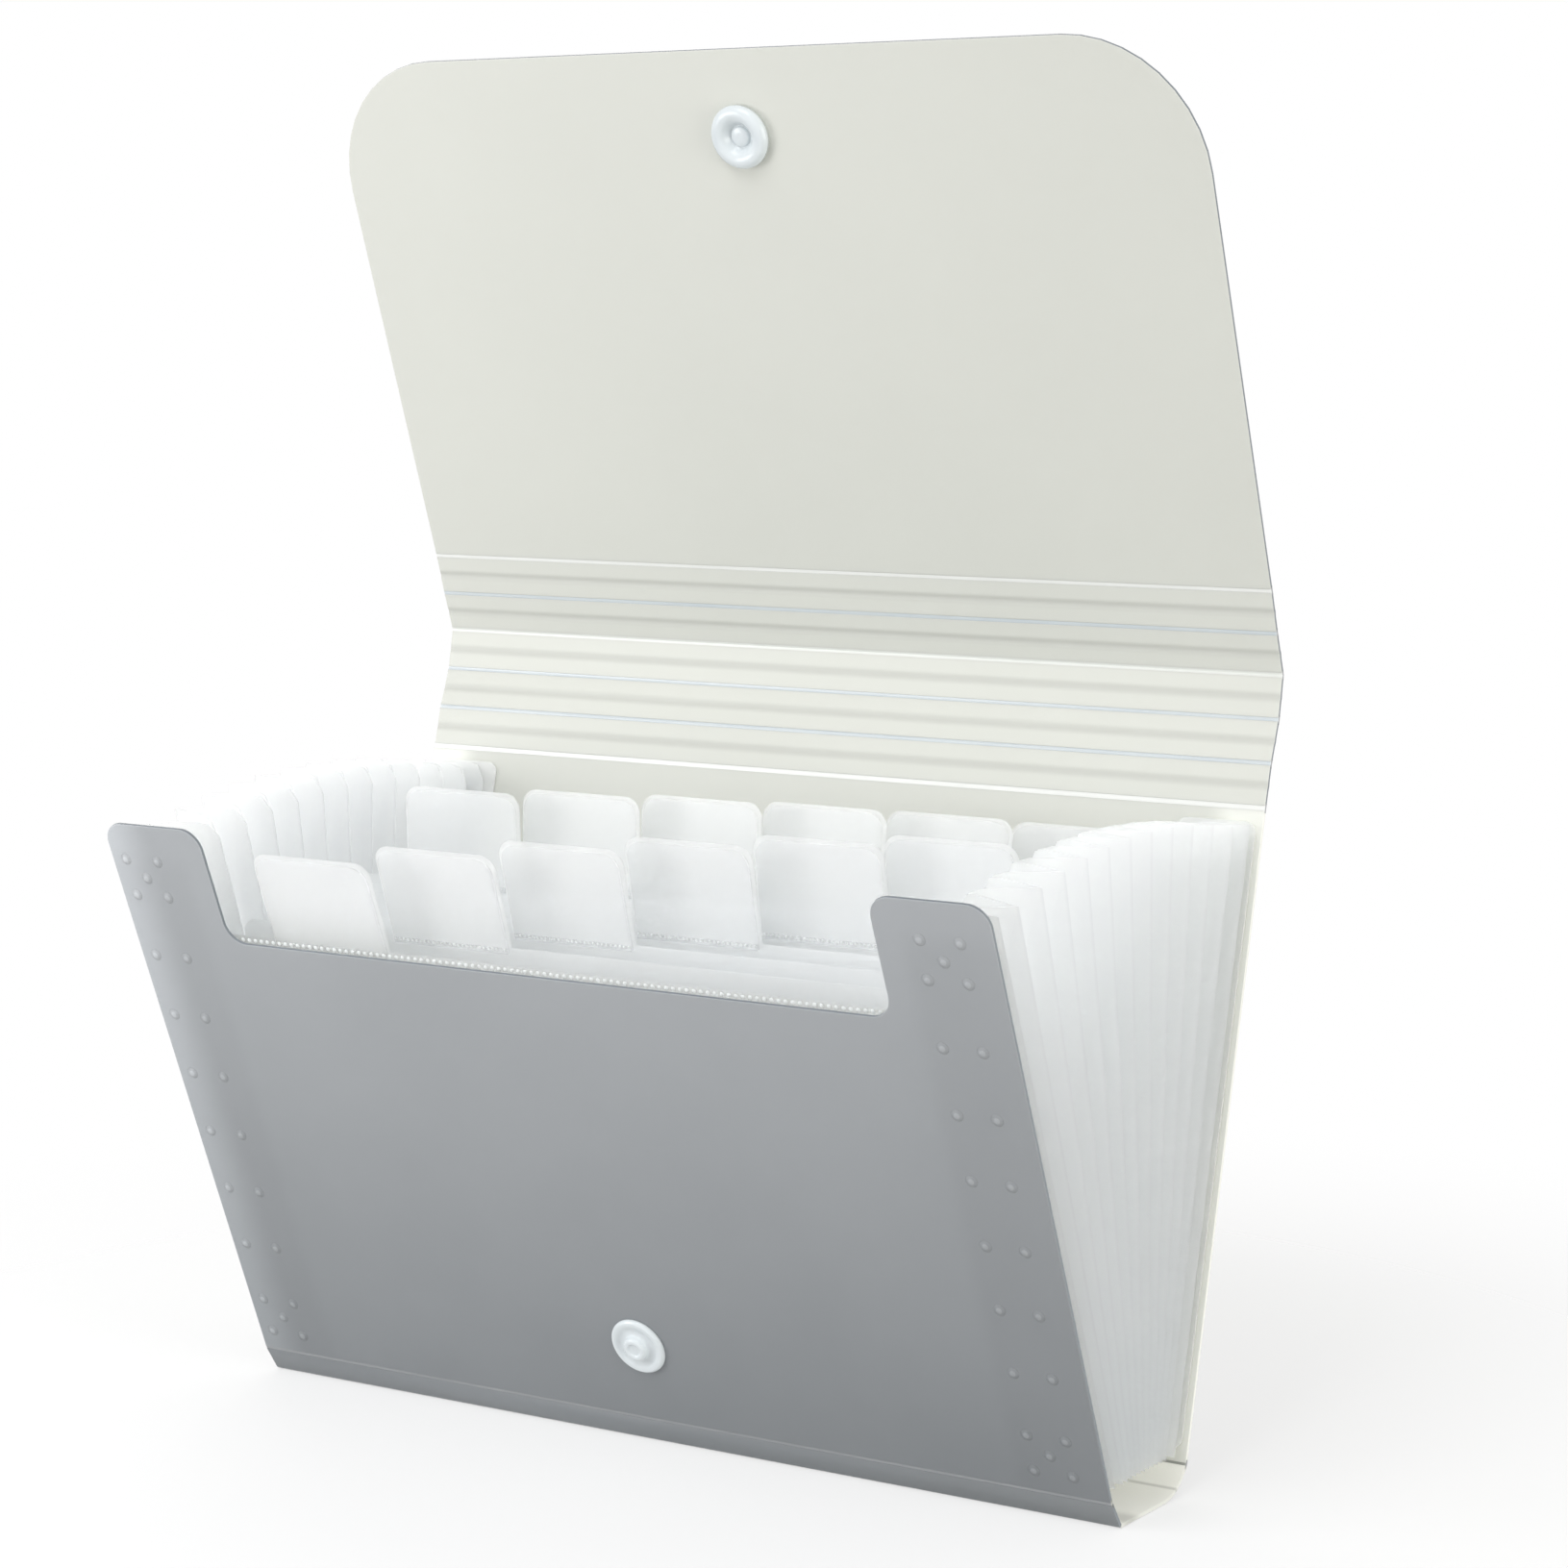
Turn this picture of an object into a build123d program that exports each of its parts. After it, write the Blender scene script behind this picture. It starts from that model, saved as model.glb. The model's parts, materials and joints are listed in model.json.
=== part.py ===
from build123d import *
from math import asin, cos, degrees, hypot, radians, sin, sqrt
import os

# Accordion file folder, standing open. Millimetres and degrees.
# X runs across the folder, +Y to its back, +Z up. The origin is the middle of the floor's underside.
# A lean is measured from upright and is positive towards the front. A turn is the lean that a crease adds.

# Cover sheet
width = 178.0
cover_sheet = 0.6
floor_depth = 19.8
foot_strip = 5.4
front_panel_height = 111.0
back_panel_height = 111.0
top_strip = 7.7
flap_corner = 24.0
ear_width = 21.5
ear_corner = 4.0
finger_notch_depth = 22.0
finger_notch_corner = 4.0

# Scored creases and the shallow lines pressed along the middle of each top strip
crease_web = 0.16
hinge_gap = 0.3
fold_gap = 0.1
score_width = 0.6
pressed_depth = 0.12
pressed_width = 0.9

# How the open cover stands
front_foot_lean = 34.3
front_lean = 21.8
rear_foot_lean = -36.0
back_lean = -13.7
top_turns = (-1.0, -5.7, 9.9, 29.6, -1.7, 1.8)

# How the shut cover stands: the panels lean together, three top strips lie over them, the flap hangs in front
shut_front_lean = -1.9
shut_strip_lean = 85.5
strips_over_top = 3

# Press stud: a cap riveted through each sheet holds the socket on the flap and the stud on the front
stud_reach = 15.94
flap_past_socket = 15.3
snap_cap_radius = 5.0
snap_cap_height = 0.9
snap_pin_radius = 1.1
snap_pin_clearance = 0.1
socket_radius = 5.2
socket_height = 2.2
socket_floor = 0.5
socket_mouth_radius = 2.4
socket_rivet_radius = 1.7
socket_rivet_height = 0.5
stud_flange_radius = 4.6
stud_flange_height = 0.7
stud_post_radius = 2.0
stud_post_height = 1.2
stud_rivet_radius = 1.5
stud_rivet_height = 0.4
snap_play = 0.2
snap_edge = 0.3

# Pocket insert: dividers with index tabs, side gussets and the folded pocket bottoms
divider_count = 12
divider_film = 0.3
divider_body_height = 93.0
divider_corner = 3.0
divider_foot = 1.6
end_pocket_gap = 3.5
insert_lift = 1.0
tab_height = 17.0
gusset_above_tabs = 2.0
tab_width = 25.6
tab_left_gap = 13.0
tab_right_gap = 5.4
tab_corner = 3.0
tabs_in_a_row = 6
sleeve_film = 0.2
sleeve_slot = 0.3
sleeve_margin = 0.6
sleeve_weld = 1.0
sleeve_overlap = 1.0
gusset_depth = 13.5
gusset_film = 0.2
gusset_foot = 6.0
gusset_edge_gap = 0.8
pleat_bands = 4
fold_clearance = 0.5
bottom_film = 0.3
bottom_fold_low = 1.05
bottom_fold_high = 2.2
bottom_end_gap = 0.8

# Gusset margins, spot welded to the insides of the front and back panels
margin_film = 0.3
margin_width = 15.0
margin_edge_gap = 1.0
margin_end_gap = 2.5
margin_corner = 2.0
weld_height = 0.25
weld_radius = 0.8
weld_sides = 8
weld_column_half_pitch = 3.6
weld_left_inset = 6.7
weld_right_inset = 9.8
weld_foot_gap = 4.4
weld_top_gap = 7.0
weld_cluster_pitch = 7.1
weld_row_steps = 7


# Places on the side profile, as (y, z)
def go(point, lean, length):
    return (point[0] - length * sin(radians(lean)), point[1] + length * cos(radians(lean)))


def stand_off(point, lean, distance):
    """A point moved square off a leaning sheet, to its front side."""
    return (point[0] - distance * cos(radians(lean)), point[1] - distance * sin(radians(lean)))


sheet_middle = cover_sheet / 2
front_floor_crease = (-floor_depth / 2, sheet_middle)
rear_floor_crease = (floor_depth / 2, sheet_middle)
front_crease = go(front_floor_crease, front_foot_lean, foot_strip)
back_crease = go(rear_floor_crease, rear_foot_lean, foot_strip)
back_top = go(back_crease, back_lean, back_panel_height)


def top_leans():
    """Leans of the top strips and the flap, from the back panel on."""
    lean = back_lean
    leans = []
    for turn in top_turns:
        lean += turn
        leans.append(lean)
    return leans


def top_creases():
    """The crease at the foot of each top strip, and last the flap's crease."""
    creases = [back_top]
    for lean in top_leans()[:-1]:
        creases.append(go(creases[-1], lean, top_strip))
    return creases


# The shut cover: the back panel leans as far as brings the flap to its distance off the front panel
snap_stack = stud_flange_height + socket_height + snap_play
shut_flap_lean = 180 + shut_front_lean


def off_front(point):
    """How far a point lies in front of the shut front panel."""
    lean = radians(shut_front_lean)
    return (front_crease[0] - point[0]) * cos(lean) + (front_crease[1] - point[1]) * sin(lean)


def shut_strip_leans():
    """Leans of the top strips when shut. The last of them hang with the flap."""
    leans = top_leans()
    over = [shut_strip_lean + lean - leans[0] for lean in leans[:strips_over_top]]
    down = [shut_flap_lean + lean - leans[-1] for lean in leans[strips_over_top:-1]]
    return over + down


def shut_back_lean():
    reach = sum(top_strip * sin(radians(lean - shut_front_lean)) for lean in shut_strip_leans())
    inward = cover_sheet + snap_stack - reach - off_front(back_crease)
    return shut_front_lean + degrees(asin(inward / back_panel_height))


shut_flap_crease = go(back_crease, shut_back_lean(), back_panel_height)
for strip_lean in shut_strip_leans():
    shut_flap_crease = go(shut_flap_crease, strip_lean, top_strip)
shut_stud = go(front_crease, shut_front_lean, stud_reach)
stud_to_crease = hypot(shut_flap_crease[0] - shut_stud[0], shut_flap_crease[1] - shut_stud[1])
socket_reach = sqrt(stud_to_crease ** 2 - (cover_sheet + snap_stack) ** 2)
flap_length = socket_reach + flap_past_socket


# Sheets: local X across, local Y up the sheet from its crease, local Z out of its front face
def sheet_plane(foot, lean):
    return Plane(
        origin=(0, foot[0], foot[1]),
        x_dir=(1, 0, 0),
        z_dir=(0, -cos(radians(lean)), -sin(radians(lean))),
    )


def scored_sheet(length, foot_gap, top_gap=None, pressed=False):
    """A sheet of the cover, thinned to a web at its creases. A sheet without a gap at its top ends plain."""
    half = cover_sheet / 2
    web = crease_web / 2
    front = [(foot_gap / 2, web), (score_width, half)]
    if pressed:
        middle = length / 2
        front.append((middle - pressed_width / 2, half))
        front.append((middle, half - pressed_depth))
        front.append((middle + pressed_width / 2, half))
    back = [(score_width, -half), (foot_gap / 2, -web)]
    if top_gap:
        end = length - top_gap / 2
        front += [(length - score_width, half), (end, web)]
        back = [(end, -web), (length - score_width, -half)] + back
    else:
        front.append((length, half))
        back = [(length, -half)] + back
    section = make_face(Polyline(*front, *back, close=True))
    return extrude(Plane.YZ * section, amount=width / 2, both=True)


def top_gap(crease):
    """The gap at a numbered top crease: two of them hinge, the others keep their fold."""
    return hinge_gap if crease in (0, strips_over_top) else fold_gap


def through(outline):
    return extrude(outline, amount=cover_sheet, both=True)


def pin_hole(x, y):
    return through(Pos(x, y) * Circle(snap_pin_radius + snap_pin_clearance))


def rectangle(left, right, low, high):
    return Pos((left + right) / 2, (low + high) / 2) * Rectangle(right - left, high - low)


def rounded_top(left, right, low, high, radius):
    """A rectangle with its two upper corners rounded."""
    outline = rectangle(left, right, low, high)
    return fillet(outline.vertices().group_by(Axis.Y)[-1], radius)


# Cover pieces
def front_panel():
    """Two ears with a finger notch between them. Vertex groups count up from the crease."""
    inner = width / 2 - ear_width
    notch_floor = front_panel_height - finger_notch_depth
    outline = rectangle(-width / 2, width / 2, 0, front_panel_height)
    outline -= rectangle(-inner, inner, notch_floor, front_panel_height)
    outline = fillet(outline.vertices().group_by(Axis.Y)[-1], ear_corner)
    outline = fillet(outline.vertices().group_by(Axis.Y)[1], finger_notch_corner)
    return scored_sheet(front_panel_height, hinge_gap) & through(outline) - pin_hole(0, stud_reach)


def closing_flap():
    outline = rounded_top(-width / 2, width / 2, 0, flap_length, flap_corner)
    return scored_sheet(flap_length, fold_gap) & through(outline) - pin_hole(0, socket_reach)


def bottom_floor():
    flat = scored_sheet(floor_depth, fold_gap, fold_gap)
    return Pos(0, -floor_depth / 2, sheet_middle) * flat


# Press stud pieces, made upright on a face at local Z 0 and set on their sheets
def ring(outer, inner, low, high):
    return Pos(0, 0, low) * extrude(Circle(outer) - Circle(inner), amount=high - low)


def snap_cap(rivet_radius, rivet_low, rivet_height):
    """Cap behind the sheet, with a pin through it whose end is spread into a rivet head."""
    cap = Pos(0, 0, -cover_sheet - snap_cap_height) * extrude(Circle(snap_cap_radius), amount=snap_cap_height)
    cap = chamfer(cap.edges().group_by(Axis.Z)[0], snap_edge)
    pin = Pos(0, 0, -cover_sheet) * extrude(Circle(snap_pin_radius), amount=cover_sheet + rivet_low)
    head = Pos(0, 0, rivet_low) * extrude(Circle(rivet_radius), amount=rivet_height)
    head = chamfer(head.edges().group_by(Axis.Z)[-1], snap_edge)
    return cap + pin + head


def snap_socket():
    bore = snap_pin_radius + snap_pin_clearance
    body = ring(socket_radius, socket_mouth_radius, socket_floor, socket_height)
    body += ring(socket_radius, bore, 0, socket_floor)
    rims = body.edges().group_by(Axis.Z)[-1]
    return chamfer(rims, snap_edge)


def snap_stud():
    bore = snap_pin_radius + snap_pin_clearance
    top = stud_flange_height + stud_post_height
    body = ring(stud_flange_radius, bore, 0, stud_flange_height)
    body += ring(stud_post_radius, bore, stud_flange_height, top - stud_rivet_height)
    rims = body.edges().group_by(Axis.Z)[-1].sort_by(SortBy.RADIUS)
    return chamfer(rims[-1], snap_edge)


# Pocket insert
tab_top = divider_body_height + tab_height
insert_height = tab_top + gusset_above_tabs
divider_half = width / 2 - gusset_depth - fold_clearance
gusset_inner = width / 2 - gusset_depth
gusset_outer = width / 2 - gusset_edge_gap


def divider_foot_place(number):
    """Where a divider's swing is centred, on the pocket bottoms. Shut dividers stand here side by side."""
    first = -floor_depth / 2 + end_pocket_gap
    step = (floor_depth - 2 * end_pocket_gap) / (divider_count - 1)
    return (first + step * (number - 1), insert_lift)


def divider_lean(number):
    """The dividers are spread evenly between the front and back panels at the top of the insert."""
    first_y = go(front_crease, front_lean, insert_height)[0]
    last_y = go(back_crease, back_lean, insert_height)[0]
    top_y = first_y + (last_y - first_y) * number / (divider_count + 1)
    return degrees(asin((divider_foot_place(number)[0] - top_y) / insert_height))


def tab_left(number):
    first = -divider_half + tab_left_gap
    last = divider_half - tab_right_gap - tab_width
    step = (number - 1) % tabs_in_a_row
    return first + (last - first) * step / (tabs_in_a_row - 1)


def divider(number):
    left = tab_left(number)
    outline = rounded_top(-divider_half, divider_half, divider_foot, divider_body_height, divider_corner)
    outline += rounded_top(left, left + tab_width, divider_foot, tab_top, tab_corner)
    return extrude(outline, amount=divider_film / 2, both=True)


def index_sleeve(number):
    """Clear pocket on the front of a tab, open at its top and welded along its other three sides."""
    left = tab_left(number) + sleeve_margin
    right = tab_left(number) + tab_width - sleeve_margin
    low = divider_body_height - sleeve_overlap
    high = tab_top - sleeve_margin
    body = extrude(rounded_top(left, right, low, high, tab_corner), amount=sleeve_slot + sleeve_film)
    slot = rectangle(left + sleeve_weld, right - sleeve_weld, low + sleeve_weld, tab_top)
    return Pos(0, 0, divider_film / 2) * (body - extrude(slot, amount=sleeve_slot))


def pocket_bottoms():
    """One film folded up under each divider and down between them."""
    end = floor_depth / 2 - bottom_end_gap
    ridges = [divider_foot_place(number)[0] for number in range(1, divider_count + 1)]
    stops = [-end] + ridges + [end]
    upper = []
    for start, stop in zip(stops, stops[1:]):
        upper.append((start, bottom_fold_high))
        upper.append(((start + stop) / 2, bottom_fold_low))
    upper.append((end, bottom_fold_high))
    lower = [(y, z - bottom_film) for y, z in reversed(upper)]
    section = make_face(Polyline(*upper, *lower, close=True))
    return extrude(Plane.YZ * section, amount=divider_half, both=True)


def fold_place(edge, height):
    """A point (y, z) on a numbered sheet of the fan: the front margin, a divider or the back margin."""
    inset = cover_sheet / 2 + weld_height + margin_film + gusset_film
    if edge == 0:
        place = go(stand_off(front_crease, front_lean, -inset), front_lean, height)
    elif edge == divider_count + 1:
        place = go(stand_off(back_crease, back_lean, inset), back_lean, height)
    else:
        place = go(divider_foot_place(edge), divider_lean(edge), height)
    return place


def pleat_corners(pocket, height, side):
    """Corners round a pocket's side pleat at one height: out along its walls, back on the film's inside."""
    before = fold_place(pocket, height)
    after = fold_place(pocket + 1, height)
    deep, rise = after[0] - before[0], after[1] - before[1]
    span = hypot(deep, rise)
    near, middle, far = gusset_film, span / 2, span - gusset_film
    tip = gusset_outer - (gusset_outer - gusset_inner) * gusset_film / (middle - near)
    if pocket == 0:
        corners = [(gusset_outer, near), (gusset_inner, far)]
        corners += [(gusset_inner, far - gusset_film), (gusset_outer, near - gusset_film)]
    elif pocket == divider_count:
        corners = [(gusset_inner, near), (gusset_outer, far)]
        corners += [(gusset_outer, far + gusset_film), (gusset_inner, near + gusset_film)]
    else:
        corners = [(gusset_inner, near), (gusset_outer, middle), (gusset_inner, far)]
        corners += [(gusset_inner, far - gusset_film), (tip, middle), (gusset_inner, near + gusset_film)]
    places = []
    for x, depth in corners:
        share = depth / span
        places.append((side * x, before[0] + share * deep, before[1] + share * rise))
    return places


def flat(*corners):
    return Face(Wire.make_polygon(corners))


def pleat(pocket, side):
    """Bands of flat triangles. The way back round the film cuts its bands as the way out does."""
    rise = (insert_height - gusset_foot) / pleat_bands
    loops = [pleat_corners(pocket, gusset_foot + rise * band, side) for band in range(pleat_bands + 1)]
    faces = [flat(*loops[0]), flat(*loops[-1])]
    count = len(loops[0])
    for low, high in zip(loops, loops[1:]):
        for here in range(count):
            after = (here + 1) % count
            if here < count / 2:
                faces.append(flat(low[here], low[after], high[after]))
                faces.append(flat(low[here], high[after], high[here]))
            else:
                faces.append(flat(low[here], low[after], high[here]))
                faces.append(flat(low[after], high[after], high[here]))
    return Solid(Shell(faces))


def gusset(side):
    return Compound([pleat(pocket, side) for pocket in range(divider_count + 1)])


# Margins and welds, on the inner face of a panel at local Z `face`, growing along `inward`
def weld_places(height):
    """Two columns of spots at each side, with one more in the middle of the top and bottom fours."""
    first = weld_foot_gap + weld_cluster_pitch
    last = height - weld_top_gap - weld_cluster_pitch
    rows = [first + (last - first) * step / weld_row_steps for step in range(weld_row_steps + 1)]
    rows = [weld_foot_gap] + rows + [height - weld_top_gap]
    places = []
    for column in (weld_left_inset - width / 2, width / 2 - weld_right_inset):
        for row in rows:
            places.append((column - weld_column_half_pitch, row))
            places.append((column + weld_column_half_pitch, row))
        places.append((column, (rows[0] + rows[1]) / 2))
        places.append((column, (rows[-2] + rows[-1]) / 2))
    return places


def weld_spots(inward, height):
    face = inward * cover_sheet / 2
    spot = extrude(RegularPolygon(weld_radius, weld_sides), amount=inward * weld_height)
    return Compound([(Pos(x, y, face) * spot).solid() for x, y in weld_places(height)])


def gusset_margins(inward, height):
    face = inward * (cover_sheet / 2 + weld_height)
    outer = width / 2 - margin_edge_gap
    strips = []
    for side in (-1, 1):
        near, far = sorted((side * outer, side * (outer - margin_width)))
        outline = rectangle(near, far, margin_end_gap, height - margin_end_gap)
        outline = fillet(outline.vertices(), margin_corner)
        strips.append((Pos(0, 0, face) * extrude(outline, amount=inward * margin_film)).solid())
    return Compound(strips)


# Nodes
nodes = {}
front_plane = sheet_plane(front_crease, front_lean)
back_plane = sheet_plane(back_crease, back_lean)
flap_plane = sheet_plane(top_creases()[-1], top_leans()[-1])
front_foot_plane = sheet_plane(front_floor_crease, front_foot_lean)
rear_foot_plane = sheet_plane(rear_floor_crease, rear_foot_lean)

nodes["bottom_floor"] = bottom_floor()
nodes["bottom_front_strip"] = front_foot_plane * scored_sheet(foot_strip, fold_gap, hinge_gap)
nodes["bottom_rear_strip"] = rear_foot_plane * scored_sheet(foot_strip, fold_gap, hinge_gap)
nodes["front_panel"] = front_plane * front_panel()
nodes["back_panel"] = back_plane * scored_sheet(back_panel_height, hinge_gap, hinge_gap)
strip_count = len(top_turns) - 1
for index in range(strip_count):
    strip_plane = sheet_plane(top_creases()[index], top_leans()[index])
    strip = scored_sheet(top_strip, top_gap(index), top_gap(index + 1), pressed=True)
    nodes[f"top_strip_{index + 1}"] = strip_plane * strip
nodes["closing_flap"] = flap_plane * closing_flap()

socket_rivet_low = socket_floor
stud_rivet_low = stud_flange_height + stud_post_height - stud_rivet_height
socket_seat = flap_plane * Pos(0, socket_reach, cover_sheet / 2)
stud_seat = front_plane * Pos(0, stud_reach, cover_sheet / 2)
nodes["snap_socket"] = socket_seat * snap_socket()
nodes["snap_socket_cap"] = socket_seat * snap_cap(socket_rivet_radius, socket_rivet_low, socket_rivet_height)
nodes["snap_stud"] = stud_seat * snap_stud()
nodes["snap_stud_cap"] = stud_seat * snap_cap(stud_rivet_radius, stud_rivet_low, stud_rivet_height)

nodes["pocket_bottoms"] = pocket_bottoms()
for number in range(1, divider_count + 1):
    divider_plane = sheet_plane(divider_foot_place(number), divider_lean(number))
    nodes[f"divider_{number:02d}"] = divider_plane * divider(number)
    nodes[f"index_sleeve_{number:02d}"] = divider_plane * index_sleeve(number)
nodes["left_gusset"] = gusset(-1)
nodes["right_gusset"] = gusset(1)
nodes["front_gusset_margins"] = front_plane * gusset_margins(-1, front_panel_height)
nodes["back_gusset_margins"] = back_plane * gusset_margins(1, back_panel_height)
nodes["front_weld_spots"] = front_plane * weld_spots(-1, front_panel_height)
nodes["back_weld_spots"] = back_plane * weld_spots(1, back_panel_height)

os.makedirs("parts", exist_ok=True)
for name, solid in nodes.items():
    export_step(solid, f"parts/{name}.step")
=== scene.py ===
import json
from collections import namedtuple
from math import acos, cos, pi, radians, sin, sqrt, tan

import bmesh
import bpy
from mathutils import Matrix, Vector


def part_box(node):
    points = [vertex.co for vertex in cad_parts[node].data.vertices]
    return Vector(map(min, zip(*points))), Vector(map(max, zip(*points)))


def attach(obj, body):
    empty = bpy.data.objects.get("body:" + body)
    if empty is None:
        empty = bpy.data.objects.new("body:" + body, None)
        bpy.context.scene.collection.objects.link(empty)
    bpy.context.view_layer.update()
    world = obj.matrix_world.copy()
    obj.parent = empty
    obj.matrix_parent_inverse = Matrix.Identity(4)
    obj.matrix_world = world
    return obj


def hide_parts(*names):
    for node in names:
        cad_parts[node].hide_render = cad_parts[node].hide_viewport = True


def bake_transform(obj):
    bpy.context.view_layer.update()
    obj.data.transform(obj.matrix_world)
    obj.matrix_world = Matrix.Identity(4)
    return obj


# Accordion file folder, standing open: what it looks like. Metres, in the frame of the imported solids.
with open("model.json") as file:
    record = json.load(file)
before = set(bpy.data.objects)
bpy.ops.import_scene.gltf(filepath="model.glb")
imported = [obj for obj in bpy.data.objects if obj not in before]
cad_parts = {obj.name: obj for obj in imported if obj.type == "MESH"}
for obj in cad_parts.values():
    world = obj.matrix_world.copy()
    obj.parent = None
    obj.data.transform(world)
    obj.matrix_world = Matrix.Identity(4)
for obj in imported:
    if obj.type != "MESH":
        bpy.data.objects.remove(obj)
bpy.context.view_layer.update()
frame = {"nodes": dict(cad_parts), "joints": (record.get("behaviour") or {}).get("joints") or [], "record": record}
MM = 0.001

# Cover sheet
SHEET = 0.6 * MM
RIM_ROUND = 0.12 * MM
EAR_WIDTH = 21.5 * MM
EAR_CORNER = 4.0 * MM
NOTCH_DEPTH = 22.0 * MM
NOTCH_CORNER = 4.0 * MM
FLAP_CORNER = 24.0 * MM
ARC_STEPS = 10
PRESSED_WIDTH = 1.8 * MM
PRESSED_DEPTH = 0.1 * MM
PRESSED_STEPS = 8
SCORE_GAP = 0.5 * MM
SCORE_CUT = 0.25 * MM
WEB_REACH = 0.8 * MM
WEB_FILM = 0.5 * MM
FRONT_BEND = 0.8 * MM
REAR_BEND = 10.0 * MM
BEND_STEPS = 12
CREASE_DEPTH = 0.1 * MM
CREASE_SPREAD = 3.0 * MM
SAME_EDGE = 0.02 * MM

# Press stud: profiles as (radius, height over the sheet's face) in mm, from the axis to the rim
SNAP_STEPS = 48
SNAP_ROUND = 0.1 * MM
SOCKET_PROFILE = ((0.5, 1.05), (1.5, 1.0), (1.75, 0.85), (1.8, 0.5), (2.05, 0.5), (2.4, 0.85), (2.72, 1.45),
                  (3.27, 1.95), (4.03, 2.2), (4.8, 2.1), (5.35, 1.75), (5.67, 1.15), (5.56, 0.5), (5.1, 0.0))
STUD_PROFILE = ((0.35, 1.45), (1.0, 1.47), (1.35, 1.75), (1.85, 1.75), (2.2, 1.5), (2.35, 0.7), (2.75, 0.45),
                (3.7, 0.45), (4.0, 0.65), (4.5, 0.85), (5.0, 0.8), (5.35, 0.45), (5.4, 0.0))
CAP_PROFILE = ((0.5, 0.9), (3.6, 0.88), (4.4, 0.75), (4.85, 0.45), (5.0, 0.0))

# Pocket insert
GUSSET_FILM = 0.2 * MM
GUSSET_FOOT = 6.0 * MM
GUSSET_HEIGHT = 112.0 * MM
GUSSET_INNER = 75.5 * MM
GUSSET_OUTER = 88.2 * MM
GUSSET_CORNER = 3.5 * MM
GUSSET_COLUMNS = (0, 0.12, 0.3, 0.6, 1.0)
GUSSET_ROWS = 8
MARGIN_INNER = 73.0 * MM
MARGIN_FOOT = 1.5 * MM
MARGIN_TOP = 108.2 * MM
MARGIN_FACE = 0.85 * MM
MARGIN_STACK = 1.05 * MM
LEAST_BLEND = 0.1

# Weld spots and rows of weld beads: profiles and bead radii in mm, slopes in degrees
WELD_APART = 2.5 * MM
WELD_PROFILE = ((0.1, 0.3), (0.3, 0.28), (0.55, 0.2), (0.8, 0.1), (1.0, 0.03), (1.2, -0.03))
WELD_SIDES = 16
# Rings in a weld spot's middle that take the paler finish, partly a painted highlight
WELD_HIGHLIGHT_RINGS = 1
BEAD_SLOPES = (15, 40, 65, 90)
BEAD_SIDES = 10
LABEL_BEAD = 0.3
HEM_BEAD = 0.4
LABEL_WELD_PITCH = 0.9 * MM
LABEL_WELD_RISE = 0.8 * MM
HEM_PITCH = 1.35 * MM
HEM_REACH = 65.5 * MM
HEM_RISE = 0.4 * MM
HEM_BEHIND = 0.65 * MM

# Patterns in the materials: widths of blotches, depths of relief, and where soft lines, painted shade and painted
# light start and end
SHEET_CLOUD = 45.0 * MM
SHEET_GRAIN = 0.4 * MM
SHEET_GRAIN_DEPTH = 0.05 * MM
WEB_STREAK = 12.0 * MM
FILM_CLOUD = 30.0 * MM
FILM_WAVE = 9.0 * MM
FILM_WAVE_DEPTH = 0.3 * MM
MOULDING_MARK = 4.0 * MM
MOULDING_DEPTH = 0.1 * MM
CLOUD_SHARE = 0.25
BAND_EDGE = (MARGIN_INNER - 3.0 * MM, MARGIN_INNER + 1.5 * MM)
BAND_TOP = (0.91, 0.965)
PRESSED_EDGE = (0.02, 0.17)
FOLD_EDGE = (0.45, 0.5)
FILM_FACING = (0.5, 0.7)
# Width of the painted light at the panels' side edges, and how much paler it paints the left edge
EDGE_GLOW = 11.0 * MM
EDGE_PALER = 1.4

# Floor, light and camera
FLOOR_REACH = 3.0
FLOOR_DROP = 0.1 * MM
FLOOR_FADE = (0.1, 0.3)
FLOOR_SHOWN = 0.42
STUDIO_LEVEL = 0.57
CAMERA_PLACE = (0.3795, -0.5563, 0.1964)
CAMERA_LOOK = (-0.5417, 0.8320, -0.1203)
CAMERA_LENS = 89.9
CAMERA_SENSOR = 36.0

# Places read from the frame
Seat = namedtuple("Seat", "foot up out length")
ACROSS = Vector((1, 0, 0))
joint_places = {joint["name"]: Vector(joint["pos_m"]) for joint in frame["joints"]}
joint_limits = {joint["name"]: joint["range_deg"] for joint in frame["joints"]}
ratios = {pair["joint"]: pair["ratio"] for pair in frame["record"]["behaviour"]["couplings"]}
half_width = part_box("back_panel")[1][0]
divider_count = sum(name.startswith("divider_") for name in frame["nodes"])


def seat_of(node):
    """The middle plane of a flat sheet of the cover. Its two end edges lie on that plane."""
    points = [vertex.co.copy() for vertex in frame["nodes"][node].data.vertices]
    low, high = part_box(node)
    up = Vector((0, 0, 1)) if high[2] - low[2] > 2 * SHEET else Vector((0, 1, 0))
    for _ in range(3):
        reach = [point.dot(up) for point in points]
        first = [p for p, r in zip(points, reach) if r < min(reach) + SAME_EDGE]
        last = [p for p, r in zip(points, reach) if r > max(reach) - SAME_EDGE]
        foot = sum(first, Vector()) / len(first)
        top = sum(last, Vector()) / len(last)
        foot.x = top.x = 0
        up = (top - foot).normalized()
    return Seat(foot, up, ACROSS.cross(up), (top - foot).length)


def on_seat(seat, u, v, w=0.0):
    """A point u across, v up and w out from the foot of a seat."""
    return seat.foot + ACROSS * u + seat.up * v + seat.out * w


def share_across(u):
    """A place across the sheet, as a share of its width."""
    return u / half_width / 2 + 0.5


def swing_share(body):
    """How far a body turns while the folder shuts, per degree of the back panel."""
    names = {"back": None, "front": "front_panel_fold"}
    follower = names.get(body, f"{body}_swing")
    return ratios[follower] if follower else 1.0


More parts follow.
